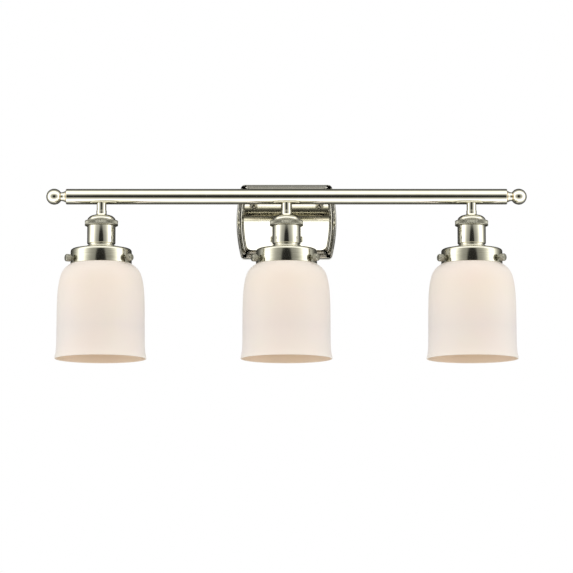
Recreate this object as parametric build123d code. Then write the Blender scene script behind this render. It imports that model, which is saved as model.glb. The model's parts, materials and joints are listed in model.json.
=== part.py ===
"""Three-lamp vanity light bar, in millimetres.

Frame: the origin is the centre of the outlet box on the wall, +X runs along the bar, +Z is up
and -Y points out of the wall, so the wall is the plane y = 0.
Each lamp is turned about an upright axis, with its heights measured from the axis of the bar.
"""
from build123d import *
from math import cos, hypot, pi, sin, sqrt
import os

# ---------------------------------------------------------------- driving dimensions
REACH = 101.6                       # wall to the axis of the bar
BAR_Z = 21.0                        # bar axis above the outlet centre
BAR_R, BAR_BORE = 10.7, 9.2         # bar tube radii
BAR_HALF = 303.0                    # half the length of the tube
LAMP_X = {"left": -254.0, "centre": 0.0, "right": 254.0}

PLATE_HALF_W, PLATE_HALF_H = 70.5, 53.0   # back plate at the wall
PLATE_BOW_R = 200.0                 # bow of the plate's two sides
PLATE_DEPTH = 22.0                  # wall to the raised face
PLATE_WALL = 1.5
CAP_NUT_X = 46.0                    # the two studs that hold the plate
SLOT_X = 39.7                       # outlet box screws, at the middle of each slot
SLOT_R, SLOT_LENGTH = 2.4, 14.35
BRACKET_T = 2.0
STUD_R, STUD_END = 2.0, 27.2
GROUND_X, GROUND_Z = 26.0, 14.0     # the green screw's hole in the bracket

ARM_R, ARM_BORE, ARM_TAIL_R = 8.0, 5.0, 6.6
ARM_TAIL_END = 15.0                 # the threaded tail stops this far from the wall

STEM_R, STEM_BORE = 6.55, 4.2
NIPPLE_R, NIPPLE_BORE = 4.95, 3.2
SEAM_Z = -19.3                      # underside of the stem
CAP_TOP_Z = -25.5                   # top of the socket cap
CAP_R = 19.1
RING_TOP_Z, RING_BOTTOM_Z, RING_R = -32.85, -40.7, 22.8
CUP_R = 19.4
SEAT_R = 18.4                       # where cap and cup stand inside the knurled ring
CUP_FOOT_Z = -69.6                  # the cup's flared foot on the collar
NECK_R, NECK_BORE = 16.2, 15.1      # threaded neck under the cup
COLLAR_R, COLLAR_WALL = 41.9, 1.3
COLLAR_BOTTOM_Z = -93.5
SCREW_Z = -87.5                     # thumbscrews round the collar
SCREW_TIP_R, SCREW_FACE_R = 38.1, 52.8
SCREW_AZIMUTH = {"front_left": -64.0, "front_right": 56.0, "rear": 176.0}

GLASS_NECK_R, GLASS_WALL = 38.0, 3.0
GLASS_TOP_Z, MOUTH_Z, MOUTH_R = -75.5, -224.0, 63.3

SHELL_BORE = 13.35                  # inside the brass screw shell
CONTACT_Z = -44.1                   # where the bulb's tip meets the centre contact
BULB_R, BULB_Z, BULB_TIP_Z = 30.0, -122.0, -152.0
LEAD_R = 0.95

RUNNING = 0.05                      # radial clearance of a running fit


# ---------------------------------------------------------------- helpers
def turned(*corners):
    """A solid turned about the Z axis from corners (r, z) or (r, z, rounding)."""
    points = [corner[:2] for corner in corners]
    rounding = [corner[2] if len(corner) > 2 else 0 for corner in corners]
    edge = FilletPolyline(*points, radius=rounding, close=True)
    return revolve(Plane.XZ * make_face(edge), Axis.Z)


def rod(radius, start, end):
    """A round bar from one point to another."""
    run = Vector(*end) - Vector(*start)
    return extrude(Plane(origin=start, z_dir=run) * Circle(radius), run.length)


def fluted(radius, depth, teeth, bottom, height):
    """A straight-knurled disc: a star outline pushed up from its lower face."""
    step = pi / teeth
    rim = [(radius - depth * (i % 2), i * step) for i in range(2 * teeth)]
    star = Polyline(*[(r * cos(a), r * sin(a)) for r, a in rim], close=True)
    return extrude(Pos(0, 0, bottom) * make_face(star), height)


def wire_run(points, bend):
    """An insulated lead along its route."""
    path = FilletPolyline(*points, radius=bend)
    start = Plane(origin=points[0], z_dir=Vector(*points[1]) - Vector(*points[0]))
    return sweep(start * Circle(LEAD_R), path=path)


def at_lamp(x, solid):
    return Pos(x, -REACH, BAR_Z) * solid


def save(name, *solids):
    shape = solids[0] if len(solids) == 1 else Compound(children=[Part() + s for s in solids])
    shape.label = name
    export_step(shape, f"parts/{name}.step")


# ---------------------------------------------------------------- wall side
def plate_outline(inset, height, corner):
    """The plate's outline, set in from its edge, at a height above the wall."""
    half_h = PLATE_HALF_H - inset
    middle = PLATE_HALF_W - inset
    bow = PLATE_BOW_R - inset
    end = middle - (bow - sqrt(bow**2 - half_h**2))
    edges = [
        Line((-end, half_h), (end, half_h)),
        ThreePointArc((end, half_h), (middle, 0), (end, -half_h)),
        Line((end, -half_h), (-end, -half_h)),
        ThreePointArc((-end, -half_h), (-middle, 0), (-end, half_h)),
    ]
    face = make_face(edges)
    return Plane.XZ.offset(height) * fillet(face.vertices(), corner)


def quarter(inset, height, width, rise, hollow=False, steps=6):
    """Insets and heights along a quarter ellipse, bulging out or hollowed."""
    for i in range(steps + 1):
        turn = i / steps * pi / 2
        if hollow:
            yield inset + width * sin(turn), height + rise * (1 - cos(turn))
        else:
            yield inset + width * (1 - cos(turn)), height + rise * sin(turn)


def plate_shell():
    """Outer edge, rolled shoulder, cove, bead and riser, up to the flat face."""
    moulding = [(0, 0), (0.4, 6.6)]
    moulding += list(quarter(0.5, 7.0, 2.4, 2.4))
    moulding += list(quarter(3.3, 9.6, 2.7, 4.2, hollow=True))
    moulding += list(quarter(6.2, 14.4, 2.5, 2.6))
    moulding += [(9.0, 17.4), (9.9, 20.8)]
    moulding += list(quarter(10.1, 21.2, 0.8, 0.8, steps=3))
    outer = [plate_outline(i, h, 6 + 2 * i / 11) for i, h in moulding]
    inner_steps = [(1.6, -1.0), (2.0, 6.8), (4.7, 8.7), (7.6, 13.2), (10.3, 16.4),
                   (11.4, PLATE_DEPTH - PLATE_WALL)]
    inner = [plate_outline(i, h, 5 + 2 * i / 11) for i, h in inner_steps]
    plate = loft(outer, ruled=True) - loft(inner, ruled=True)
    for side in (-1, 1):
        stud = (side * CAP_NUT_X, 0, BAR_Z)
        plate -= rod(2.3, stud, (stud[0], -30, BAR_Z))
    return plate - rod(ARM_TAIL_R + 0.1, (0, 0, BAR_Z), (0, -30, BAR_Z))


def bracket():
    """Steel plate on the outlet box, with a wiring hole, box slots and tapped holes."""
    blank = Pos(0, 7) * RectangleRounded(116, 48, 5)
    blank -= Circle(12)
    for side in (-1, 1):
        blank -= Pos(side * SLOT_X, 0) * SlotOverall(SLOT_LENGTH, 2 * SLOT_R)
        blank -= Pos(side * CAP_NUT_X, BAR_Z) * Circle(STUD_R)
    blank -= Pos(GROUND_X, GROUND_Z) * Circle(1.7)
    return extrude(Plane.XZ * blank, BRACKET_T)


def hex_nut(flats, thickness, bore, x, z, y):
    """A hexagon nut that stands out of the wall from y."""
    nut = RegularPolygon(flats / 2, 6, major_radius=False) - Circle(bore)
    return extrude(Plane(origin=(x, -y, z), z_dir=(0, -1, 0)) * nut, thickness)


def cap_nut(x):
    """A domed nut with a washer face, tapped from the back."""
    base = PLATE_DEPTH + 0.02
    dome = turned((0, 0), (6.2, 0), (6.2, 1.8, 0.6), (5.0, 1.8), (5.0, 5.2), (3.6, 7.9, 2.0), (0, 8.6))
    dome -= Pos(0, 0, -1) * Cylinder(2.05, 6.4, align=(Align.CENTER, Align.CENTER, Align.MIN))
    return Plane(origin=(x, -base, BAR_Z), z_dir=(0, -1, 0)) * dome


def wall_side():
    save("mounting_bracket", bracket())
    save("back_plate", plate_shell())
    sides = (-CAP_NUT_X, CAP_NUT_X)
    save("mounting_studs", *[rod(STUD_R, (x, 0, BAR_Z), (x, -STUD_END, BAR_Z)) for x in sides])
    save("stud_lock_nuts", *[hex_nut(7.0, 3.0, STUD_R + 0.02, x, BAR_Z, BRACKET_T) for x in sides])
    save("cap_nuts", *[cap_nut(x) for x in sides])
    x, z = GROUND_X, GROUND_Z
    head = rod(4.2, (x, -3.0, z), (x, -5.4, z)) - Pos(x, -5.4, z) * Box(6.4, 1.6, 1.0)
    save("ground_screw", head + rod(1.68, (x, -0.2, z), (x, -3.2, z)))


# ---------------------------------------------------------------- bar and arm
def bar_and_arm():
    tube = rod(BAR_R, (-BAR_HALF, 0, 0), (BAR_HALF, 0, 0))
    ends = tube.edges().filter_by(GeomType.CIRCLE)
    tube = chamfer(ends, 0.9) - rod(BAR_BORE, (-BAR_HALF, 0, 0), (BAR_HALF, 0, 0))
    tube = Pos(0, -REACH, BAR_Z) * tube
    for x in LAMP_X.values():
        tube -= rod(STEM_BORE, (x, -REACH, BAR_Z), (x, -REACH, BAR_Z - 15))
    axis = (0, -REACH, BAR_Z)
    tube -= rod(ARM_BORE, axis, (0, -REACH + 15, BAR_Z))
    save("bar_tube", tube)

    face_y = -PLATE_DEPTH
    arm = rod(ARM_R, axis, (0, face_y, BAR_Z))
    arm += rod(ARM_TAIL_R, (0, face_y - 1, BAR_Z), (0, -ARM_TAIL_END, BAR_Z))
    arm -= rod(ARM_BORE, axis, (0, 0, BAR_Z))
    arm -= rod(BAR_R, (-20, -REACH, BAR_Z), (20, -REACH, BAR_Z))
    save("arm_tube", arm)

    inside = PLATE_DEPTH - PLATE_WALL
    washer = rod(10.5, (0, -inside, BAR_Z), (0, 1.0 - inside, BAR_Z))
    save("arm_lock_washer", washer - rod(ARM_TAIL_R + 0.02, (0, -30, BAR_Z), (0, 0, BAR_Z)))
    nut = hex_nut(19.0, 3.4, ARM_TAIL_R + 0.02, 0, BAR_Z, inside - 1.0 - 3.4)
    save("arm_lock_nut", nut)

    plugs = []
    for side in (-1, 1):
        plug = rod(BAR_BORE, (side * (BAR_HALF - 12), 0, 0), (side * BAR_HALF, 0, 0))
        plug -= rod(3.02, (side * (BAR_HALF - 13), 0, 0), (side * (BAR_HALF + 1), 0, 0))
        plugs.append(Pos(0, -REACH, BAR_Z) * plug)
    save("bar_end_plugs", *plugs)

    for name, flip in (("finial_left", True), ("finial_right", False)):
        save(name, Pos(0, -REACH, BAR_Z) * finial(flip))


def finial(flip):
    """Bead, waist and ball, with a threaded tail that screws into the end plug."""
    base, ball_x, ball_r = BAR_HALF + 0.02, 319.1, 11.0
    waist_r = 6.0
    waist_x = ball_x - sqrt(ball_r**2 - waist_r**2)
    profile = [
        Line((base, 0), (base, 6.9)),
        ThreePointArc((base, 6.9), (base + 1.1, 7.7), (base + 2.2, 7.1)),
        ThreePointArc((base + 2.2, 7.1), (base + 4.2, 6.2), (waist_x, waist_r)),
        ThreePointArc((waist_x, waist_r), (ball_x, ball_r), (ball_x + ball_r, 0)),
        Line((ball_x + ball_r, 0), (base, 0)),
    ]
    knob = revolve(Plane.XZ * make_face(profile), Axis.X)
    knob += rod(3.0, (base - 10, 0, 0), (base + 1, 0, 0))
    return mirror(knob, about=Plane.YZ) if flip else knob


# ---------------------------------------------------------------- one lamp, about its own axis
def stem():
    post = rod(STEM_R, (0, 0, SEAM_Z), (0, 0, 0)) - rod(STEM_BORE, (0, 0, SEAM_Z), (0, 0, 0))
    post -= rod(NIPPLE_R + RUNNING, (0, 0, SEAM_Z), (0, 0, SEAM_Z + 7))
    return post - rod(BAR_R, (-20, 0, 0), (20, 0, 0))


def stem_ferrule():
    bore = NIPPLE_R + RUNNING
    top, foot = SEAM_Z - 0.05, CAP_TOP_Z + 0.05
    return turned((bore, top), (7.1, top, 0.3), (7.1, foot + 2.0), (8.2, foot), (bore, foot))


def nipple():
    tube = rod(NIPPLE_R, (0, 0, -31.5), (0, 0, SEAM_Z + 6))
    return tube - rod(NIPPLE_BORE, (0, 0, -31.5), (0, 0, SEAM_Z + 6))


def socket_cap():
    """Domed cap with an inner boss for the nipple, and a skirt inside the knurled ring."""
    bore = NIPPLE_R + RUNNING
    return turned(
        (bore, CAP_TOP_Z), (10.0, CAP_TOP_Z, 2.0), (17.2, CAP_TOP_Z - 1.8, 4.0), (CAP_R, -31.3, 1.5),
        (CAP_R, -32.7), (SEAT_R, -32.7), (SEAT_R, -36.8), (17.2, -36.8), (17.2, -31.2, 2.0),
        (13.5, CAP_TOP_Z - 2.3, 1.5), (7.6, CAP_TOP_Z - 1.6), (7.6, -31.4), (bore, -31.4))


def knurled_ring():
    """A loose ring with a bead at each edge and a straight knurl between them."""
    top, foot, bore = RING_TOP_Z, RING_BOTTOM_Z, SEAT_R + RUNNING
    body = turned(
        (bore, top), (20.4, top), (RING_R - 0.4, top - 0.9), (RING_R, top - 1.1), (RING_R, top - 1.9),
        (22.1, top - 2.3), (22.1, foot + 2.1), (RING_R, foot + 1.7), (RING_R, foot + 0.6, 0.3),
        (21.6, foot), (bore, foot))
    knurl = fluted(22.7, 0.55, 72, foot + 2.1, top - foot - 4.4) - Cylinder(22.0, 200)
    return body + knurl


def socket_cup():
    """Straight cup, groove, flared foot and the threaded neck that carries the collar."""
    return turned(
        (SEAT_R, -36.85), (SEAT_R, -40.75), (CUP_R, -40.75, 0.3), (CUP_R, -65.4, 0.7), (18.1, -66.0),
        (18.1, -67.2), (18.9, -68.0, 0.5), (20.6, -68.9, 0.6), (22.0, CUP_FOOT_Z + 0.5),
        (22.0, CUP_FOOT_Z), (NECK_R, CUP_FOOT_Z), (NECK_R, -77.0), (NECK_BORE, -77.0),
        (NECK_BORE, -65.0), (16.4, -62.0), (16.4, -40.1), (17.2, -40.1), (17.2, -36.85))


def shade_collar():
    """Spun collar that the glass neck sits in, tapped for three thumbscrews."""
    top, wall, hole = CUP_FOOT_Z - 0.05, COLLAR_WALL, NECK_R + 0.1
    shell = turned(
        (hole, top), (23.0, top, 6.0), (COLLAR_R, -73.9, 2.2), (COLLAR_R, COLLAR_BOTTOM_Z, 0.4),
        (COLLAR_R - wall, COLLAR_BOTTOM_Z, 0.4), (COLLAR_R - wall, -73.9 - wall, 1.2),
        (22.8, top - wall, 6.0), (hole, top - wall))
    for azimuth in SCREW_AZIMUTH.values():
        shell -= Rot(0, 0, azimuth) * rod(2.05, (0, -30, SCREW_Z), (0, -50, SCREW_Z))
    return shell


def collar_nut():
    """Flat hexagon nut that clamps the collar under the cup's foot."""
    nut = RegularPolygon(20.0, 6, major_radius=False) - Circle(NECK_R + 0.03)
    return extrude(Pos(0, 0, CUP_FOOT_Z - COLLAR_WALL - 0.1) * nut, -3.6)


def thumbscrew(azimuth):
    """Knurled head, neck and plain-ended screw, pointing at the lamp's axis."""
    length = SCREW_FACE_R - SCREW_TIP_R
    head = 7.5
    screw = turned(
        (0, 0), (1.6, 0), (1.98, 0.5), (1.98, length - head - 1.2), (3.1, length - head - 1.2),
        (3.1, length - head), (4.5, length - head), (4.9, length - head + 0.5),
        (4.9, length - 1.3), (4.1, length - 0.25, 0.6), (0, length))
    screw += fluted(5.1, 0.35, 28, length - head + 0.8, head - 2.4)
    return Rot(0, 0, azimuth) * (Plane(origin=(0, -SCREW_TIP_R, SCREW_Z), z_dir=(0, -1, 0)) * screw)


def socket_body():
    """Insulating liner: a flange on the cup's ledge, two wire holes and a bored barrel."""
    flange_top, flange_foot = -36.95, -40.05
    body = turned(
        (0, flange_top), (17.1, flange_top), (17.1, flange_foot), (15.0, flange_foot),
        (15.0, -76.8), (14.2, -76.8), (14.2, -41.2), (0, -41.2))
    for side in (-1, 1):
        body -= rod(LEAD_R + 0.05, (0, 5.5 * side, flange_top + 1), (0, 5.5 * side, -39.9))
    return body


def screw_shell():
    """Thin brass liner rolled into rings that stand in for its thread."""
    pitch, wall, rings = 3.6, 0.35, 6
    crest, root = SHELL_BORE + 0.4, SHELL_BORE
    heights = [-43.2 - pitch / 2 * i for i in range(2 * rings + 1)]
    inner = [(root if i % 2 else crest, z) for i, z in enumerate(heights)]
    outer = [(r + wall, z) for r, z in inner]
    return turned(*outer, *reversed(inner))


def centre_contact():
    """Sprung brass tongue at the top of the socket, drawn at its working height."""
    leaf = Pos(2.5, 0, -42.9) * Box(9, 4, 0.5)
    return leaf + turned(
        (0, -41.25), (2.2, -41.25), (2.2, -43.2), (3.0, -43.2), (2.4, -43.95, 0.4), (0, -43.95))


def glass_points():
    """Points down the outside of the bell, from its straight neck to its flared mouth."""
    return [(GLASS_NECK_R, -90.0), (39.9, -92.9), (44.2, -95.0), (49.4, -98.9), (54.4, -105.6),
            (57.3, -116.0), (59.3, -130.0), (60.2, -150.0), (60.3, -180.0), (60.4, -202.0),
            (60.9, -213.5), (MOUTH_R, -222.3)]


def glass_shade():
    """Blown bell: the outside curve and the same curve set in by the wall."""
    outer = glass_points()
    inner = []
    for i, (r, z) in enumerate(outer):
        before, after = outer[max(i - 1, 0)], outer[min(i + 1, len(outer) - 1)]
        along = (0.0, -1.0) if i == 0 else (after[0] - before[0], after[1] - before[1])
        size = hypot(*along)
        inner.append((r + GLASS_WALL * along[1] / size, z - GLASS_WALL * along[0] / size))
    neck_r = GLASS_NECK_R - GLASS_WALL
    shoulder = GLASS_TOP_Z - 0.8
    edges = [
        Line((GLASS_NECK_R, shoulder), outer[0]),
        Spline(*outer),
        ThreePointArc(outer[-1], (MOUTH_R - GLASS_WALL / 2, MOUTH_Z), inner[-1]),
        Spline(*reversed(inner)),
        Line(inner[0], (neck_r, shoulder)),
        ThreePointArc((neck_r, shoulder), (neck_r + GLASS_WALL / 2, GLASS_TOP_Z),
                      (GLASS_NECK_R, shoulder)),
    ]
    return revolve(Plane.XZ * make_face(edges), Axis.Z)


def bulb_globe():
    """Thin glass envelope, from the cement line in its cap to its round end."""
    wall = 0.9
    outside = [(13.0, -70.4), (13.2, -77.0), (15.6, -86.0), (21.5, -98.0), (27.6, -110.0),
               (29.6, -117.0), (BULB_R, BULB_Z)]
    half = sin(pi / 4)

    def side(points, r, tip):
        return [
            Spline(*points),
            ThreePointArc(points[-1], (r * half, BULB_Z - (BULB_Z - tip) * half), (0, tip)),
        ]

    inside = [(r - wall, z) for r, z in outside]
    edges = side(outside, BULB_R, BULB_TIP_Z) + side(inside, BULB_R - wall, BULB_TIP_Z + wall)
    edges += [Line(outside[0], inside[0]), Line((0, BULB_TIP_Z), (0, BULB_TIP_Z + wall))]
    return revolve(Plane.XZ * make_face(edges), Axis.Z)


def bulb_cap():
    """Contact button, insulator and the ringed screw shell of the bulb."""
    crest, root, pitch = SHELL_BORE - 0.25, SHELL_BORE - 0.8, 3.6
    thread = []
    for i in range(5):
        z = -50.4 - pitch * i
        thread += [(root, z), (crest, z - 0.9), (crest, z - 1.9), (root, z - 2.8)]
    return turned(
        (0, CONTACT_Z), (3.4, CONTACT_Z, 0.8), (4.6, -45.6), (5.4, -46.0), (10.2, -48.8), (12.0, -49.0),
        *thread, (root, -70.2), (0, -70.2))


def lamp(name, x):
    pieces = {
        "stem": stem(), "socket_cap": socket_cap(), "knurled_ring": knurled_ring(),
        "socket_cup": socket_cup(), "shade_collar": shade_collar(), "socket_body": socket_body(),
        "screw_shell": screw_shell(), "glass_shade": glass_shade(), "bulb_globe": bulb_globe(),
        "bulb_cap": bulb_cap(),
    }
    for place, azimuth in SCREW_AZIMUTH.items():
        pieces[f"thumbscrew_{place}"] = thumbscrew(azimuth)
    for piece, solid in pieces.items():
        save(f"{name}_{piece}", at_lamp(x, solid))


def shared_lamp_pieces():
    """Small identical pieces, one of each in every lamp."""
    for name, make in (("stem_ferrules", stem_ferrule), ("lamp_nipples", nipple),
                       ("collar_nuts", collar_nut), ("centre_contacts", centre_contact)):
        save(name, *[at_lamp(x, make()) for x in LAMP_X.values()])


# ---------------------------------------------------------------- wiring
def lead_route(lamp_x, arm_x, level, side, drop_y, nut_x):
    """From a socket terminal, up the stem, along the bar, through the arm, down to a wire nut."""
    y_stem, y_term = -REACH + 1.15 * side, -REACH + 5.5 * side
    z_arm = BAR_Z + level
    points = [
        (lamp_x, y_term, BAR_Z - 39.8),
        (lamp_x, y_term, BAR_Z - 36.4),
        (lamp_x, y_stem, BAR_Z - 32.2),
        (lamp_x, y_stem, z_arm),
    ]
    bends = [1.6, 1.6]
    if lamp_x:
        points.append((arm_x, y_stem, z_arm))
        bends.append(5.0)
    shift = nut_x * 9.5
    points += [
        (arm_x, drop_y, z_arm), (arm_x, drop_y, 11.5),
        (arm_x + shift, drop_y, -7.0), (arm_x + shift, drop_y, -17.0),
    ]
    bends += [3.5, 3.4, 6.0, 6.0]
    return wire_run(points, bends)


def wiring():
    """Two leads a lamp, stacked in the arm, each colour falling in its own plane to its nut."""
    left, right = LAMP_X["left"], LAMP_X["right"]
    blacks = [lead_route(x, arm_x, level, 1, -11.5, -1)
              for x, arm_x, level in ((left, -2.2, 0.9), (0.0, 0.0, -3.7), (right, 2.2, 0.9))]
    whites = [lead_route(x, arm_x, level, -1, -8.0, 1)
              for x, arm_x, level in ((left, -2.2, 3.2), (0.0, 0.0, -1.4), (right, 2.2, 3.2))]
    save("leads_black", *blacks)
    save("leads_white", *whites)

    nuts = []
    for side in (-1, 1):
        nut = turned((4.3, -8.0), (6.3, -8.0, 0.5), (6.1, -12.0), (4.6, -25.0), (3.2, -26.4, 0.8),
                     (0, -26.4), (0, -20.0), (4.3, -20.0))
        nuts.append(Pos(9.5 * side, -9.75, 0) * nut)
    save("wire_nuts", *nuts)

    route = [(11.6, -18.3, 22.0), (16.0, -18.3, 22.0), (26.0, -13.0, 22.0),
             (34.0, -4.2, 18.5), (31.3, -4.2, 14.2)]
    save("ground_wire", wire_run(route, [3.5, 4.0, 2.0]))


os.makedirs("parts", exist_ok=True)
wall_side()
bar_and_arm()
for lamp_name, lamp_x in LAMP_X.items():
    lamp(lamp_name, lamp_x)
shared_lamp_pieces()
wiring()
print(len(os.listdir("parts")), "parts")
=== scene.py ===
# %% [markdown]
# # A three-lamp vanity light bar
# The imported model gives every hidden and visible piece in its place. This lesson rebuilds the
# polished, turned and blown pieces as smooth meshes on top of it, and gives every piece a finish.

# %% Load the fixed frame
import json
from math import asin, cos, hypot, pi, radians, sin

import bmesh
import bpy
from mathutils import Matrix, Vector


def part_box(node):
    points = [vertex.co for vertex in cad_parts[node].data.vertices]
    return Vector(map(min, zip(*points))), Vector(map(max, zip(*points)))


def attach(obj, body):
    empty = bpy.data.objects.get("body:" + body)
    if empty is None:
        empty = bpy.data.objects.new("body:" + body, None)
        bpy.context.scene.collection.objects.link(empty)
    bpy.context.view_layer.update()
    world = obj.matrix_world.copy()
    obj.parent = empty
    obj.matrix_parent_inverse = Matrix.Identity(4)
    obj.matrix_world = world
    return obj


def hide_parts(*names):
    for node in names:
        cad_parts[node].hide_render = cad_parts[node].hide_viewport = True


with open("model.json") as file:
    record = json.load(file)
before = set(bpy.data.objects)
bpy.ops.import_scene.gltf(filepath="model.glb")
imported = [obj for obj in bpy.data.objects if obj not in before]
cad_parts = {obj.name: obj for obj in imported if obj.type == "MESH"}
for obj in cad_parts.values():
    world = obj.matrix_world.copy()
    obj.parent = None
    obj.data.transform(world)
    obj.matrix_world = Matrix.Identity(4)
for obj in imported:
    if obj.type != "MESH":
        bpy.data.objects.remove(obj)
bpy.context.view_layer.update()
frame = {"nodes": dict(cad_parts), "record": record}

# %% [markdown]
# ## Where the lamps hang
# Each lamp is turned about an upright axis through the bar. The boxes of the frame's pieces give
# the three axes and the bar's height, so no place is typed twice. Heights are then given in
# millimetres below the middle of the bar.

# %% Lamp axes and the bar's height
MM = 0.001
LAMPS = ("left", "centre", "right")
SCREWS = {"front_left": -64.0, "front_right": 56.0, "rear": 176.0}


def middle(node):
    low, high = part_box(node)
    return (low + high) / 2


BAR = middle("bar_tube")
AXES = {lamp: Vector((middle(lamp + "_socket_cup").x, BAR.y, BAR.z)) for lamp in LAMPS}
PITCH = AXES["centre"].x - AXES["left"].x
print("bar height", round(BAR.z, 4), "lamps at", [round(a.x, 3) for a in AXES.values()])

# %% [markdown]
# ## Turning on a lathe
# Most of this light is turned metal. An open wire with the piece's half section is drawn from a
# few vertices, its corners are rounded with a vertex bevel, and spin carries it round the axis.
# Sharp edges are then marked by angle, so that rounded corners catch a soft line of light.

# %% The lathe and a piece's finish
def finish_mesh(bm, name, material, sharp=35):
    """Closes doubles, turns faces outwards and makes the bmesh an object with its material."""
    bmesh.ops.remove_doubles(bm, verts=bm.verts, dist=0.002 * MM)
    bmesh.ops.recalc_face_normals(bm, faces=bm.faces)
    mesh = bpy.data.meshes.new(name)
    bm.to_mesh(mesh)
    bm.free()
    for polygon in mesh.polygons:
        polygon.use_smooth = True
    mesh.set_sharp_from_angle(angle=radians(sharp))
    mesh.materials.append(material)
    piece = bpy.data.objects.new(name, mesh)
    bpy.context.collection.objects.link(piece)
    return piece


def half_section(bm, corners):
    """A closed wire of (radius, height, rounding) corners in millimetres, with rounded corners."""
    verts = [bm.verts.new((c[0] * MM, 0, c[1] * MM)) for c in corners]
    for a, b in zip(verts, verts[1:] + verts[:1]):
        bm.edges.new((a, b))
    for vert, corner in zip(verts, corners):
        if len(corner) > 2:
            bmesh.ops.bevel(bm, geom=[vert], offset=corner[2] * MM, affect="VERTICES",
                            segments=5, profile=0.5, material=-1, clamp_overlap=False)


def turn(corners, steps=96):
    """A bmesh turned about the Z axis."""
    bm = bmesh.new()
    half_section(bm, corners)
    bmesh.ops.spin(bm, geom=bm.verts[:] + bm.edges[:], cent=(0, 0, 0), axis=(0, 0, 1),
                   angle=2 * pi, steps=steps, use_merge=True)
    return bm


def lay_down(bm):
    """Turns a piece's own Z axis to run along X."""
    bmesh.ops.rotate(bm, verts=bm.verts, cent=(0, 0, 0), matrix=Matrix.Rotation(pi / 2, 3, "Y"))


def place(bm, spot):
    bmesh.ops.translate(bm, verts=bm.verts, vec=spot)


# %% [markdown]
# ## Colours
# Colours are picked as sRGB hex values, because that is how a finish is matched. The
# shader works in linear light, so one function turns them.

# %% Colour and node helpers
def colour(code):
    """Linear RGBA from an sRGB hex value."""
    parts = [int(code[i:i + 2], 16) / 255 for i in (1, 3, 5)]
    return (*[c / 12.92 if c <= 0.04045 else ((c + 0.055) / 1.055) ** 2.4 for c in parts], 1.0)


def new_material(name, base, metallic, roughness, **extra):
    """A principled material with its even values set on the shader's own sockets."""
    material = bpy.data.materials.new(name)
    material.use_nodes = True
    shader = material.node_tree.nodes["Principled BSDF"]
    shader.inputs["Base Color"].default_value = colour(base)
    shader.inputs["Metallic"].default_value = metallic
    shader.inputs["Roughness"].default_value = roughness
    for socket, value in extra.items():
        shader.inputs[socket.replace("_", " ")].default_value = value
    return material, shader


def add_node(material, kind, settings=(), links=()):
    """Adds a node, sets its properties or inputs by name, and links sockets into its inputs."""
    tree = material.node_tree
    node = tree.nodes.new(kind)
    for key, value in dict(settings).items():
        if hasattr(node, str(key)):
            setattr(node, key, value)
        else:
            node.inputs[key].default_value = value
    for key, source in dict(links).items():
        tree.links.new(source, node.inputs[key])
    return node


def into(material, source, shader, socket):
    material.node_tree.links.new(source, shader.inputs[socket])


def object_point(material, scale=(1, 1, 1), shift=(0, 0, 0)):
    """Object coordinates in metres, scaled and shifted."""
    place_node = add_node(material, "ShaderNodeTexCoord")
    return add_node(material, "ShaderNodeMapping", {"Scale": scale, "Location": shift},
                    {"Vector": place_node.outputs["Object"]}).outputs["Vector"]


def ramp(material, source, *stops):
    """A colour ramp from (position, hex) stops."""
    node = add_node(material, "ShaderNodeValToRGB", links={"Fac": source})
    while len(node.color_ramp.elements) < len(stops):
        node.color_ramp.elements.new(0.5)
    for element, (position, code) in zip(node.color_ramp.elements, stops):
        element.position, element.color = position, colour(code)
    return node.outputs["Color"]


# %% [markdown]
# ## Polished nickel plate
# Nickel is a warm, slightly green white metal. Here it is plated over turned brass and buffed on a
# wheel, so it mirrors the room. The buffing leaves a very faint, slow ripple and fine haze, which
# keep the reflections from looking computed. The ripple's size is the width of a buffing pass.

# %% Polished nickel
PER_M = 1 / MM


def polished_nickel():
    material, shader = new_material("nickel_plate_buffed", "#dcd9cb", 1.0, 0.05)
    point = object_point(material)
    haze = add_node(material, "ShaderNodeTexNoise", {"Scale": PER_M / 9.0, "Detail": 3.0},
                    {"Vector": point})
    gloss = add_node(material, "ShaderNodeMapRange", {"To Min": 0.03, "To Max": 0.085},
                     {"Value": haze.outputs["Fac"]})
    into(material, gloss.outputs["Result"], shader, "Roughness")
    ripple = add_node(material, "ShaderNodeTexNoise", {"Scale": PER_M / 14.0, "Detail": 1.0},
                      {"Vector": point})
    bump = add_node(material, "ShaderNodeBump", {"Strength": 0.02, "Distance": 0.4 * MM},
                    {"Height": ripple.outputs["Fac"]})
    into(material, bump.outputs["Normal"], shader, "Normal")
    tone = ramp(material, haze.outputs["Fac"], (0.3, "#d8d5c6"), (0.7, "#e0ddd0"))
    into(material, tone, shader, "Base Color")
    return material


# %% [markdown]
# ## Satin nickel, brushed round the axis
# The collars are held against an abrasive belt while they turn, which leaves fine rings. The rings
# spread a reflection up and down but not sideways, so a dark upright streak stays crisp. The
# scratches are noise that changes quickly with height and slowly round the piece. A real scratch
# is about 0.05 mm wide; it is drawn at 0.5 mm to show at this distance.

# %% Brushed nickel
def brushed_nickel():
    material, shader = new_material("nickel_plate_satin_brushed", "#cfccbc", 1.0, 0.09)
    stretched = object_point(material, scale=(0.03, 0.03, 1.0))
    scratch = add_node(material, "ShaderNodeTexNoise", {"Scale": PER_M / 0.5, "Detail": 4.0},
                       {"Vector": stretched})
    bump = add_node(material, "ShaderNodeBump", {"Strength": 0.12, "Distance": 0.05 * MM},
                    {"Height": scratch.outputs["Fac"]})
    into(material, bump.outputs["Normal"], shader, "Normal")
    tone = ramp(material, scratch.outputs["Fac"], (0.3, "#bebbaa"), (0.7, "#d9d6c8"))
    into(material, tone, shader, "Base Color")
    return material
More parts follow.
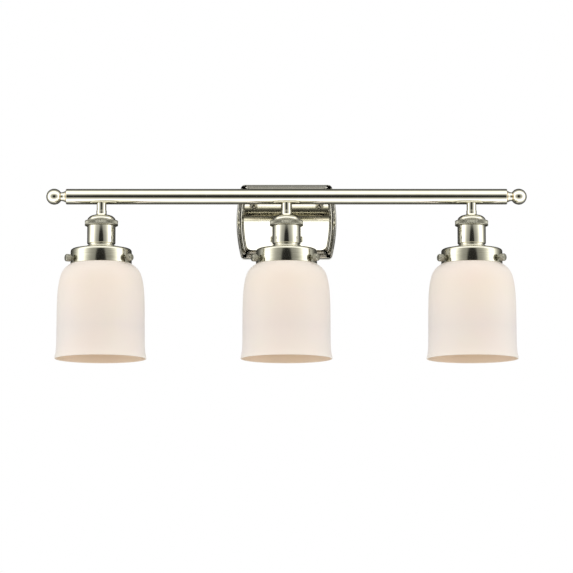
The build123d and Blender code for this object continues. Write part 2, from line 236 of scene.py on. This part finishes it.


# %% [markdown]
# ## Matte nickel on knurling
# Knurled grips are tumbled, not buffed, so they are grey and matte. The ribs themselves are
# modelled; the shader adds only the fine grain, with a tone that is darker or lighter at random.

# %% Knurled nickel
def knurled_nickel():
    material, shader = new_material("nickel_plate_tumbled_knurl", "#98968a", 1.0, 0.36)
    point = object_point(material)
    grain = add_node(material, "ShaderNodeTexNoise", {"Scale": PER_M / 0.6, "Detail": 4.0},
                     {"Vector": point})
    bump = add_node(material, "ShaderNodeBump", {"Strength": 0.35, "Distance": 0.08 * MM},
                    {"Height": grain.outputs["Fac"]})
    into(material, bump.outputs["Normal"], shader, "Normal")
    tone = ramp(material, grain.outputs["Fac"], (0.25, "#7f7d70"), (0.75, "#aeac9f"))
    into(material, tone, shader, "Base Color")
    return material


# %% [markdown]
# ## Opal glass
# The bells are blown in white opal glass with a matte outside. The bulb's glow through the wall is
# painted into the colour: warm around the bulb, cooler and a little greyer below it, and a warm
# peach inside. Height along the bell sets the outside's painted glow over the glass's own white,
# and the world's warmer light from the viewer's side adds real light to it. A face that looks
# towards the nearest lamp's axis belongs to the inner wall.

# %% Opal glass
def opal_glass():
    material, shader = new_material("opal_glass_blown_matte_painted_glow", "#faf3ec", 0.0, 0.5, IOR=1.5)
    point = object_point(material)
    split = add_node(material, "ShaderNodeSeparateXYZ", links={"Vector": point})
    low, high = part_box("centre_glass_shade")
    height = add_node(material, "ShaderNodeMapRange", {"From Min": low.z, "From Max": high.z},
                      {"Value": split.outputs["Z"]})
    # Painted glow: the bulb's light through the wall is painted as a tint by height over the glass's own
    # white, warmer around the bulb and greyer below it.
    white_with_painted_glow = ramp(material, height.outputs["Result"], (0.0, "#fdf9f3"), (0.05, "#faf5f1"),
                   (0.28, "#f4efed"), (0.52, "#faf4ee"), (0.68, "#fdf6ee"), (1.0, "#fef9f4"))
    across = add_node(material, "ShaderNodeMath",
                      {"operation": "WRAP", 1: -PITCH / 2, 2: PITCH / 2}, {0: split.outputs["X"]})
    depth = add_node(material, "ShaderNodeMath", {"operation": "SUBTRACT", 1: BAR.y},
                     {0: split.outputs["Y"]})
    spoke = add_node(material, "ShaderNodeCombineXYZ",
                     links={"X": across.outputs[0], "Y": depth.outputs[0]})
    facing = add_node(material, "ShaderNodeNewGeometry")
    away = add_node(material, "ShaderNodeVectorMath", {"operation": "DOT_PRODUCT"},
                    {0: facing.outputs["Normal"], 1: spoke.outputs["Vector"]})
    inner = add_node(material, "ShaderNodeMath", {"operation": "LESS_THAN", 1: 0.0},
                     {0: away.outputs["Value"]})
    # Painted glow: the inner wall is painted a warm peach, as if lit by the bulb.
    glass_with_painted_glow = add_node(material, "ShaderNodeMix", {"data_type": "RGBA", "B": colour("#efdcc6")},
                    {"Factor": inner.outputs[0], "A": white_with_painted_glow})
    cloud = add_node(material, "ShaderNodeTexNoise", {"Scale": PER_M / 40.0, "Detail": 2.0},
                     {"Vector": point})
    mottle = add_node(material, "ShaderNodeMix",
                      {"data_type": "RGBA", "blend_type": "MULTIPLY", "Factor": 0.05},
                      {"A": glass_with_painted_glow.outputs["Result"], "B": cloud.outputs["Color"]})
    into(material, mottle.outputs["Result"], shader, "Base Color")
    fine = add_node(material, "ShaderNodeTexNoise", {"Scale": PER_M / 1.2, "Detail": 2.0},
                    {"Vector": point})
    bump = add_node(material, "ShaderNodeBump", {"Strength": 0.06, "Distance": 0.05 * MM},
                    {"Height": fine.outputs["Fac"]})
    into(material, bump.outputs["Normal"], shader, "Normal")
    return material


# %% [markdown]
# ## Small finishes
# Inside are zinc plated steel, bare brass, moulded phenolic and plastic, and extruded lead
# covering. Each has its own grain, so that it still reads as itself when a shade is off.

# %% Plain finishes with a grain
def grained(name, base, dark, metallic, roughness, grain_mm, strength):
    material, shader = new_material(name, base, metallic, roughness)
    point = object_point(material)
    grain = add_node(material, "ShaderNodeTexNoise", {"Scale": PER_M / grain_mm, "Detail": 3.0},
                     {"Vector": point})
    into(material, ramp(material, grain.outputs["Fac"], (0.3, dark), (0.65, base)), shader, "Base Color")
    bump = add_node(material, "ShaderNodeBump", {"Strength": strength, "Distance": 0.05 * MM},
                    {"Height": grain.outputs["Fac"]})
    into(material, bump.outputs["Normal"], shader, "Normal")
    return material


# %% [markdown]
# ## Lit bulb
# The bulbs are frosted inside and switched on. A little warm emission on pale glass is enough,
# because a strong one would wash the globe out when it is drawn from its bell.

# %% Bulb glass
def bulb_glass():
    material, shader = new_material("soda_lime_glass_frosted", "#dccdb5", 0.0, 0.35, IOR=1.5)
    shader.inputs["Emission Color"].default_value = colour("#ffd2a0")
    shader.inputs["Emission Strength"].default_value = 0.3
    point = object_point(material)
    frost = add_node(material, "ShaderNodeTexNoise", {"Scale": PER_M / 3.0, "Detail": 2.0},
                     {"Vector": point})
    tone = ramp(material, frost.outputs["Fac"], (0.3, "#d8c8ae"), (0.7, "#e0d2bb"))
    into(material, tone, shader, "Base Color")
    return material


# %% [markdown]
# ## One finish for each slot
# Every node has a slot in the record, and each slot has one finish. The nodes that stay as they
# are take theirs here, and the new pieces take it when they replace a node.

# %% Every slot's material
MATERIALS = {
    "polished_nickel": polished_nickel(),
    "brushed_nickel": brushed_nickel(),
    "knurled_nickel": knurled_nickel(),
    "opal_glass": opal_glass(),
    "frosted_glass": bulb_glass(),
    "nickel_plated_brass": grained("brass_rolled_nickel_plate", "#d3cfc0", "#c2beae", 1.0, 0.22, 2.0, 0.08),
    "bare_brass": grained("brass_bright_turned", "#d9b35f", "#c49b48", 1.0, 0.25, 1.5, 0.1),
    "phenolic": grained("phenolic_moulded", "#2b2622", "#1f1b18", 0.0, 0.45, 0.8, 0.15),
    "zinc_steel": grained("steel_zinc_plated", "#b9bab6", "#a3a5a2", 1.0, 0.35, 4.0, 0.1),
    "green_zinc_steel": grained("steel_green_chromate", "#4b8a4e", "#3b7440", 0.6, 0.35, 2.0, 0.1),
    "black_pvc": grained("pvc_extruded_black", "#1d1d1e", "#161617", 0.0, 0.35, 2.0, 0.08),
    "white_pvc": grained("pvc_extruded_white", "#ecebe6", "#dfded8", 0.0, 0.35, 2.0, 0.08),
    "green_pvc": grained("pvc_extruded_green", "#2f7a3c", "#27672f", 0.0, 0.35, 2.0, 0.08),
    "orange_thermoplastic": grained("polypropylene_moulded_orange", "#d9732a", "#c96622",
                                    0.0, 0.45, 1.0, 0.1),
}
SLOTS = {part["node"]: part["material_slot"] for part in frame["record"]["subparts"]}
for node, piece in frame["nodes"].items():
    piece.data.materials.clear()
    piece.data.materials.append(MATERIALS[SLOTS[node]])
print("finishes", len(MATERIALS))

# %% [markdown]
# ## Handing a new piece over
# A new piece takes the place of a frame node, rides on the same body and keeps the node's slot.

# %% Replace a node
BODY_OF = {n: body for body, nodes in frame["record"]["behaviour"]["bodies"].items() for n in nodes}
print("nodes on bodies", len(BODY_OF))


def stand_for(bm, node, spot=(0, 0, 0), sharp=35):
    """Places a piece in millimetre space, makes it an object and lets it stand for a node."""
    place(bm, spot)
    piece = finish_mesh(bm, node + "_skin", MATERIALS[SLOTS[node]], sharp)
    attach(piece, BODY_OF[node])
    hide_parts(node)
    return piece


# %% [markdown]
# ## The bell shades
# A bell is one wall of even thickness. Its outside runs straight in the collar, rolls over a
# shoulder, falls almost straight and flares at the mouth. The outside points are set in by the
# wall for the inside, the loop is spun, and a subdivision surface makes the blown curve.

# %% Bells
WALL = 3.0
BELL = [(38.0, -76.2), (38.0, -82.0), (38.0, -89.0), (39.6, -92.6), (44.2, -95.0), (49.4, -98.9),
        (54.4, -105.6), (57.3, -116.0), (59.3, -130.0), (60.2, -150.0), (60.3, -180.0), (60.4, -202.0),
        (60.9, -213.5), (62.2, -219.5), (63.1, -222.6)]


def set_in(points, wall):
    """The same run of points, moved in by the wall, square to the run."""
    result = []
    for i, (r, z) in enumerate(points):
        before, after = points[max(i - 1, 0)], points[min(i + 1, len(points) - 1)]
        along = (after[0] - before[0], after[1] - before[1])
        size = hypot(*along)
        result.append((r + wall * along[1] / size, z - wall * along[0] / size))
    return result


def bell():
    inside = set_in(BELL, WALL)
    mouth = [(62.9, -223.9), (61.6, -223.95), (60.2, -223.4)]
    lip = [(35.6, -75.6), (37.4, -75.6)]
    return turn(BELL + mouth + inside[::-1] + lip, steps=64)


for lamp in LAMPS:
    shade = stand_for(bell(), lamp + "_glass_shade", AXES[lamp], sharp=80)
    smooth = shade.modifiers.new("blown", "SUBSURF")
    smooth.levels = smooth.render_levels = 2
print("bells", len(LAMPS))

# %% [markdown]
# ## Stem, cap, cup and collar
# These are the turned metal pieces of a lamp, from the bar down. Every corner has a small radius,
# as polishing leaves it, and the reflections depend on those radii.

# %% Turned metal of a lamp
SOCKET_CAP = [(5.0, -25.5), (9.6, -25.5, 1.6), (17.0, -27.6, 3.4), (19.1, -31.4, 1.0),
              (19.1, -32.7, 0.2), (18.4, -32.7), (18.4, -36.8), (17.2, -36.8), (17.2, -31.4, 1.5),
              (12.0, -27.6, 1.0), (7.6, -27.1), (7.6, -31.4), (5.0, -31.4)]
SOCKET_CUP = [(18.4, -36.85), (18.4, -40.75), (19.4, -40.75, 0.25), (19.4, -65.3, 0.6),
              (17.6, -66.0, 0.2), (17.6, -67.4, 0.3), (20.2, -68.6, 0.8), (21.9, -69.1, 0.3),
              (21.9, -69.6), (16.2, -69.6), (16.2, -77.0, 0.2), (15.1, -77.0), (15.1, -65.0),
              (16.4, -62.0), (16.4, -40.1), (17.2, -40.1), (17.2, -36.85)]
COLLAR = [(16.3, -69.65), (22.6, -69.65, 1.5), (40.2, -73.0, 1.6), (41.9, -75.2, 1.6),
          (41.9, -93.5, 0.3), (40.6, -93.5, 0.3), (40.6, -75.6, 1.0), (22.8, -70.95, 1.5),
          (16.3, -70.95)]
FERRULE = [(5.0, -19.35), (7.1, -19.35, 0.25), (7.1, -24.3, 0.5), (7.6, -25.4, 0.15), (5.0, -25.45)]

SECTIONS = {"socket_cap": SOCKET_CAP, "socket_cup": SOCKET_CUP, "shade_collar": COLLAR}

for lamp in LAMPS:
    for node, section in SECTIONS.items():
        stand_for(turn(section), f"{lamp}_{node}", AXES[lamp])


def three_of(section, node):
    """One mesh with the same turned piece under each lamp."""
    bm = bmesh.new()
    for lamp in LAMPS:
        one = turn(section)
        place(one, AXES[lamp])
        mesh = bpy.data.meshes.new("part")
        one.to_mesh(mesh)
        bm.from_mesh(mesh)
        bpy.data.meshes.remove(mesh)
        one.free()
    stand_for(bm, node)


three_of(FERRULE, "stem_ferrules")
print("turned pieces", len(LAMPS) * (len(SECTIONS) + 1))

# %% [markdown]
# ## Knurling
# A straight knurl is a ring of upright ribs pressed by a toothed wheel. A circle of points is made
# with every second point a little further in, and pushed up. A bead at each edge frames it.

# %% Ribs, knurled rings and thumbscrews
def ribs(outer, depth, teeth, low, high, inner):
    """A ribbed band in millimetres, open inside."""
    bm = bmesh.new()
    made = bmesh.ops.create_circle(bm, cap_ends=False, segments=2 * teeth, radius=outer * MM)
    for vert in made["verts"][::2]:
        vert.co *= (outer - depth) / outer
    place(bm, (0, 0, low * MM))
    top = bmesh.ops.extrude_edge_only(bm, edges=bm.edges[:])
    moved = [g for g in top["geom"] if isinstance(g, bmesh.types.BMVert)]
    bmesh.ops.translate(bm, verts=moved, vec=(0, 0, (high - low) * MM))
    for verts, shift in ((moved, 0), ([v for v in bm.verts if v not in moved], 0)):
        rim = [e for e in bm.edges if e.verts[0] in verts and e.verts[1] in verts]
        closed = bmesh.ops.extrude_edge_only(bm, edges=rim)
        inward = [g for g in closed["geom"] if isinstance(g, bmesh.types.BMVert)]
        bmesh.ops.scale(bm, verts=inward, vec=(inner / outer, inner / outer, 1.0))
    return bm


def joined(*parts):
    """Several bmeshes as one."""
    bm = bmesh.new()
    for part in parts:
        mesh = bpy.data.meshes.new("part")
        part.to_mesh(mesh)
        bm.from_mesh(mesh)
        bpy.data.meshes.remove(mesh)
        part.free()
    return bm


RING = [(18.45, -32.85), (20.4, -32.85, 0.3), (22.4, -33.7, 0.3), (22.8, -34.0, 0.3),
        (22.8, -34.8, 0.2), (22.1, -35.1), (22.1, -38.6), (22.8, -39.0, 0.2), (22.8, -40.2, 0.3),
        (21.6, -40.7, 0.2), (18.45, -40.7)]
SCREW = [(0.0, 0.0), (1.6, 0.0), (1.95, 0.5), (1.95, 6.0), (3.1, 6.0, 0.2), (3.1, 7.2), (4.5, 7.2, 0.2),
         (4.9, 7.7, 0.2), (4.9, 13.4), (4.1, 14.5, 0.5), (0.0, 14.7)]


def ring():
    return joined(turn(RING), ribs(22.7, 0.5, 72, -38.7, -35.0, 22.0))


def thumbscrew(azimuth):
    """Drawn upright, tipped to point out of the wall, then turned to its place round the collar."""
    bm = joined(turn(SCREW, steps=48), ribs(5.1, 0.35, 26, 8.0, 13.1, 4.6))
    place(bm, (0, 0, 38.1 * MM))
    bmesh.ops.rotate(bm, verts=bm.verts, cent=(0, 0, 0), matrix=Matrix.Rotation(pi / 2, 3, "X"))
    bmesh.ops.rotate(bm, verts=bm.verts, cent=(0, 0, 0), matrix=Matrix.Rotation(radians(azimuth), 3, "Z"))
    place(bm, (0, 0, -87.5 * MM))
    return bm


for lamp in LAMPS:
    stand_for(ring(), lamp + "_knurled_ring", AXES[lamp])
    for side, azimuth in SCREWS.items():
        stand_for(thumbscrew(azimuth), f"{lamp}_thumbscrew_{side}", AXES[lamp])
print("knurled pieces", 3 + 9)

# %% [markdown]
# ## The bar and its finials
# The bar is one drawn tube, and a turned finial closes each end: a thin bead, a waist and a ball.
# The ball is a fine run of points on its circle, so that its reflection stays round.

# %% Bar and finials
BAR_R, BORE, HALF = 10.7, 9.2, 303.0
TUBE = [(BORE, -HALF), (BAR_R - 0.9, -HALF), (BAR_R, -HALF + 0.9, 0.3), (BAR_R, HALF - 0.9, 0.3),
        (BAR_R - 0.9, HALF), (BORE, HALF)]
tube = turn(TUBE, steps=128)
lay_down(tube)
stand_for(tube, "bar_tube", BAR)

BALL_X, BALL_R, WAIST_R = 319.1, 11.0, 6.0


def finial(side):
    """Half section from the tube's end out to the tip, as a bead, a cove and a ball."""
    base = HALF + 0.02
    bead = [(7.0 + 0.7 * sin(pi * i / 6), base + 2.2 * i / 6) for i in range(7)]
    start = BALL_X - (BALL_R**2 - WAIST_R**2) ** 0.5
    span = start - bead[-1][1]
    cove = [(7.0 - sin(pi / 2 * i / 4), bead[-1][1] + span * i / 5) for i in range(1, 5)]
    first, steps = asin(WAIST_R / BALL_R), 28
    turns = [first + (pi - first) * i / steps for i in range(steps + 1)]
    ball = [(max(BALL_R * sin(a), 0.0), BALL_X - BALL_R * cos(a)) for a in turns]
    section = [(0.0, base), (6.4, base)] + bead + cove + ball
    bm = turn(section, steps=64)
    lay_down(bm)
    if side < 0:
        bmesh.ops.scale(bm, verts=bm.verts, vec=(-1, 1, 1))
    return bm


stand_for(finial(-1), "finial_left", BAR, sharp=50)
stand_for(finial(1), "finial_right", BAR, sharp=50)
print("bar", 2 * HALF, "mm")

# %% [markdown]
# ## Bulbs
# A globe of thin glass on a screw cap. Only a view from below shows it, inside the bell.

# %% Bulb globes
GLOBE = [(13.0, -70.4), (13.2, -77.0), (15.6, -86.0), (21.5, -98.0), (27.6, -110.0), (29.9, -119.0),
         (29.6, -127.5), (26.5, -136.5), (20.5, -144.5), (12.0, -150.0), (4.0, -152.0), (0.0, -152.1)]
GLOBE_INSIDE = [(0.0, -151.0), (4.0, -150.9), (11.5, -149.1), (19.9, -143.8), (25.7, -136.1),
                (28.7, -127.3), (29.0, -119.2), (26.8, -110.4), (20.7, -98.4), (14.8, -86.3),
                (12.3, -77.0), (12.1, -70.4)]
for lamp in LAMPS:
    globe = stand_for(turn(GLOBE + GLOBE_INSIDE, steps=48), lamp + "_bulb_globe", AXES[lamp], sharp=80)
    smooth = globe.modifiers.new("blown", "SUBSURF")
    smooth.levels = smooth.render_levels = 1
print("bulbs", len(LAMPS))

# %% [markdown]
# ## Floor, light and camera
# Polished metal shows the room and not itself, so the room is the light. It has two layers. The
# world lights matte surfaces evenly. A large dome, seen only by reflections, is dark in a gap where
# the viewer stands, grey beside the gap, white to the sides and dark again behind the piece.
# Directions are given as an azimuth to the right of straight ahead and an elevation, in degrees.

# %% Directions
ELEVATION = -7.0                         # the viewer looks up at the bar by this angle
GAP_ELEVATION = -3.0                     # the middle of the dark gap
WHITE = (1, 1, 1, 1)
WARM_FRONT = (0.89, 0.70, 0.52, 1.0)     # the viewer's side of the room, for matte surfaces


def direction(azimuth, elevation):
    a, e = radians(azimuth), radians(elevation)
    return Vector((sin(a) * cos(e), -cos(a) * cos(e), sin(e)))


print("viewer looks from", [round(c, 3) for c in direction(0, ELEVATION)])

# %% [markdown]
# Both layers depend on the angle between a direction and the gap. For the dome, a ramp gives the
# brightness at each angle, one for directions towards the sides and one for those towards the
# ceiling or floor. A round bar that lies level shows the second, and an upright cup the first.

# %% Angle and brightness
SIDEWAYS = [(0, 0.01), (16, 0.015), (19, 0.08), (22, 0.16), (28, 0.19), (36, 0.23), (44, 0.31),
            (52, 0.48), (60, 0.75), (67, 1.0), (88, 1.0), (97, 0.58), (108, 0.3), (122, 0.13),
            (138, 0.04), (180, 0.015)]
UPRIGHT = [(0, 0.01), (14, 0.015), (18, 0.07), (21, 0.16), (25, 0.3), (36, 0.5), (42, 0.7), (50, 1.0),
           (68, 1.0), (80, 0.6), (90, 0.34), (100, 0.18), (112, 0.09), (140, 0.03), (180, 0.015)]
OLIVE = 0.93                             # how much blue the greys keep


def angle_from_gap(owner, way):
    """Angle between a direction and the gap, as a share of 180 degrees."""
    unit = add_node(owner, "ShaderNodeVectorMath", {"operation": "NORMALIZE"}, {0: way})
    dot = add_node(owner, "ShaderNodeVectorMath", {"operation": "DOT_PRODUCT"},
                   {0: unit.outputs["Vector"]})
    dot.inputs[1].default_value = direction(0, GAP_ELEVATION)
    angle = add_node(owner, "ShaderNodeMath", {"operation": "ARCCOSINE"}, {0: dot.outputs["Value"]})
    share = add_node(owner, "ShaderNodeMath", {"operation": "DIVIDE", 1: pi}, {0: angle.outputs[0]})
    return share.outputs[0]


def grey_by_angle(owner, share, stops):
    """A ramp of neutral whites and slightly olive greys over 0 to 180 degrees."""
    node = add_node(owner, "ShaderNodeValToRGB", links={"Fac": share})
    while len(node.color_ramp.elements) < len(stops):
        node.color_ramp.elements.new(0.5)
    for element, (degrees, value) in zip(node.color_ramp.elements, stops):
        element.position = degrees / 180
        element.color = (value, value, value if value == 1.0 else value * OLIVE, 1)
    return node.outputs["Color"]


# %% [markdown]
# The world's light for matte surfaces is white, and warmer from the viewer's side, which gives the
# opal bells their warm middle and cool edges.

# %% World
def soft_world():
    """Even white light, warmer from the viewer's side, for everything that is not polished."""
    world = bpy.data.worlds.new("studio")
    bpy.context.scene.world = world
    world.use_nodes = True
    tree = world.node_tree
    share = angle_from_gap(world, add_node(world, "ShaderNodeTexCoord").outputs["Generated"])
    soft = add_node(world, "ShaderNodeValToRGB", links={"Fac": share})
    stops = ((38, WARM_FRONT), (62, WHITE))
    for element, (degrees, light) in zip(soft.color_ramp.elements, stops):
        element.position, element.color = degrees / 180, light
    matte = add_node(world, "ShaderNodeBackground", {"Strength": 1.0}, {"Color": soft.outputs["Color"]})
    plain = tree.nodes["Background"]
    plain.inputs["Color"].default_value = WHITE
    plain.inputs["Strength"].default_value = 1.0
    path = add_node(world, "ShaderNodeLightPath")
    mix = add_node(world, "ShaderNodeMixShader", links={0: path.outputs["Is Diffuse Ray"],
                                                        1: plain.outputs[0], 2: matte.outputs[0]})
    tree.links.new(mix.outputs[0], tree.nodes["World Output"].inputs["Surface"])


soft_world()
print("world", bpy.context.scene.world.name)

# %% [markdown]
# A sphere with a glowing material makes the dome. Only glossy rays see it, so it is left out of the
# picture and adds no light to matte surfaces. Its glow isn't sampled as a lamp, which keeps the
# render clean.

# %% Dome
def studio_dome(radius=9.0, strength=2.1):
    """A sphere round everything that only reflections see, bright and dark by direction."""
    bm = bmesh.new()
    bmesh.ops.create_icosphere(bm, subdivisions=4, radius=radius)
    material = bpy.data.materials.new("studio_cloth_lit")
    material.use_nodes = True
    tree = material.node_tree
    way = add_node(material, "ShaderNodeTexCoord").outputs["Object"]
    share = angle_from_gap(material, way)
    split = add_node(material, "ShaderNodeSeparateXYZ", links={"Vector": way})
    lean = add_node(material, "ShaderNodeMath", {"operation": "ARCTAN2"},
                    {0: split.outputs["Z"], 1: split.outputs["X"]})
    rise = add_node(material, "ShaderNodeMath", {"operation": "SINE"}, {0: lean.outputs[0]}).outputs[0]
    upward = add_node(material, "ShaderNodeMath", {"operation": "MULTIPLY"}, {0: rise, 1: rise})
    grey = add_node(material, "ShaderNodeMix", {"data_type": "RGBA"},
                    {"Factor": upward.outputs[0], "A": grey_by_angle(material, share, SIDEWAYS),
                     "B": grey_by_angle(material, share, UPRIGHT)})
    glow = add_node(material, "ShaderNodeEmission", {"Strength": strength},
                    {"Color": grey.outputs["Result"]})
    tree.links.new(glow.outputs[0], tree.nodes["Material Output"].inputs["Surface"])
    material.cycles.emission_sampling = "NONE"
    dome = finish_mesh(bm, "studio_dome", material)
    for sort in ("camera", "diffuse", "transmission", "shadow", "volume_scatter"):
        setattr(dome, "visible_" + sort, False)
    return dome


dome = studio_dome()
bpy.context.scene.view_settings.view_transform = "Standard"
print("dome faces", len(dome.data.polygons))

# %% [markdown]
# The plate stands behind the lamps and is lit on its own: the dome is kept off it by light
# linking. A white card faces its flat middle, and soft strips round it draw thin lines along
# the moulding, which otherwise stays dark.

# %% Lights for the plate
PLATE_NODES = ("back_plate", "cap_nuts")


def linked(name, mode):
    """A receiver collection with the plate's pieces, as the only ones lit or the only ones spared."""
    group = bpy.data.collections.new(name)
    for node in PLATE_NODES:
        group.objects.link(frame["nodes"][node])
    for item in group.collection_objects:
        item.light_linking.link_state = mode
    return group


def plate_light(name, azimuth, elevation, size, radiance, distance=6.0):
    data = bpy.data.lights.new(name, "AREA")
    data.shape = "RECTANGLE"
    data.size, data.size_y = size
    data.energy = radiance * pi * size[0] * size[1]
    light = bpy.data.objects.new(name, data)
    bpy.context.collection.objects.link(light)
    aim_at = middle("back_plate")
    light.location = aim_at + direction(azimuth, elevation) * distance
    light.rotation_euler = (aim_at - light.location).to_track_quat("-Z", "Y").to_euler()
    light.visible_camera = False
    light.light_linking.receiver_collection = only_plate


only_plate = linked("plate_only", "INCLUDE")
dome.light_linking.receiver_collection = linked("all_but_plate", "EXCLUDE")

# %% [markdown]
# Each light stands 6 m from the plate. The card and the strips in front draw the face and the
# moulding, and the fills behind and above show its hollow back and its top edge.

# %% Where the plate's lights stand
# name: azimuth, elevation, (width, height) in metres, radiance
PLATE_LIGHTS = {
    "card": (0, -ELEVATION, (1.2, 1.2), 1.9),
    "side_left": (-52, 0, (3.6, 6.0), 0.55),
    "side_right": (52, 0, (3.6, 6.0), 0.55),
    "strip_left": (-80, 0, (0.9, 5.0), 1.5),
    "strip_right": (80, 0, (0.9, 5.0), 1.5),
    "strip_top": (0, 66, (5.0, 1.2), 1.5),
    "strip_below": (0, -60, (5.0, 2.0), 0.5),
    "fill_behind": (180, 12, (9.0, 9.0), 0.7),
    "fill_above": (180, 80, (4.0, 4.0), 0.7),
}
for name, where in PLATE_LIGHTS.items():
    plate_light(name, *where)
print("plate lights", len(PLATE_LIGHTS))

# %% [markdown]
# The floor is one pale sheet well below the piece, as if it hung over a studio floor. Reflections
# don't see it, because the dome already has their ceiling and floor.

# %% Floor
FLOOR_Z, FLOOR_HALF = -1.4, 6.0
bm = bmesh.new()
bmesh.ops.create_grid(bm, x_segments=1, y_segments=1, size=FLOOR_HALF)
place(bm, (0, 0, FLOOR_Z))
plaster, _ = new_material("plaster_floor_pale", "#f2f1ee", 0.0, 0.8)
floor = finish_mesh(bm, "floor", plaster)
floor.visible_glossy = False
print("floor", 2 * FLOOR_HALF, "m wide")

# %% [markdown]
# The camera is far away with a long lens, a little below the bar and looking up into the mouths.
# The lens is worked out from the width that the frame takes in at the bar.

# %% Camera
LENS_DISTANCE, SENSOR = 4.0, 36.0        # metres to the aim, millimetres of sensor
FRAME_WIDTH, AIM_DROP = 0.7844, 0.1234   # metres across the frame, and from the bar down to the aim
camera_data = bpy.data.cameras.new("camera")
camera = bpy.data.objects.new("camera", camera_data)
bpy.context.collection.objects.link(camera)
bpy.context.scene.camera = camera
camera_data.sensor_width = SENSOR
camera_data.lens = SENSOR * LENS_DISTANCE / FRAME_WIDTH
camera_data.clip_end = 50
aim = Vector((0, BAR.y, BAR.z - AIM_DROP / cos(radians(ELEVATION))))
camera.location = aim + direction(0, ELEVATION) * LENS_DISTANCE
camera.rotation_euler = (aim - camera.location).to_track_quat("-Z", "Y").to_euler()
print("camera", [round(c, 3) for c in camera.location])
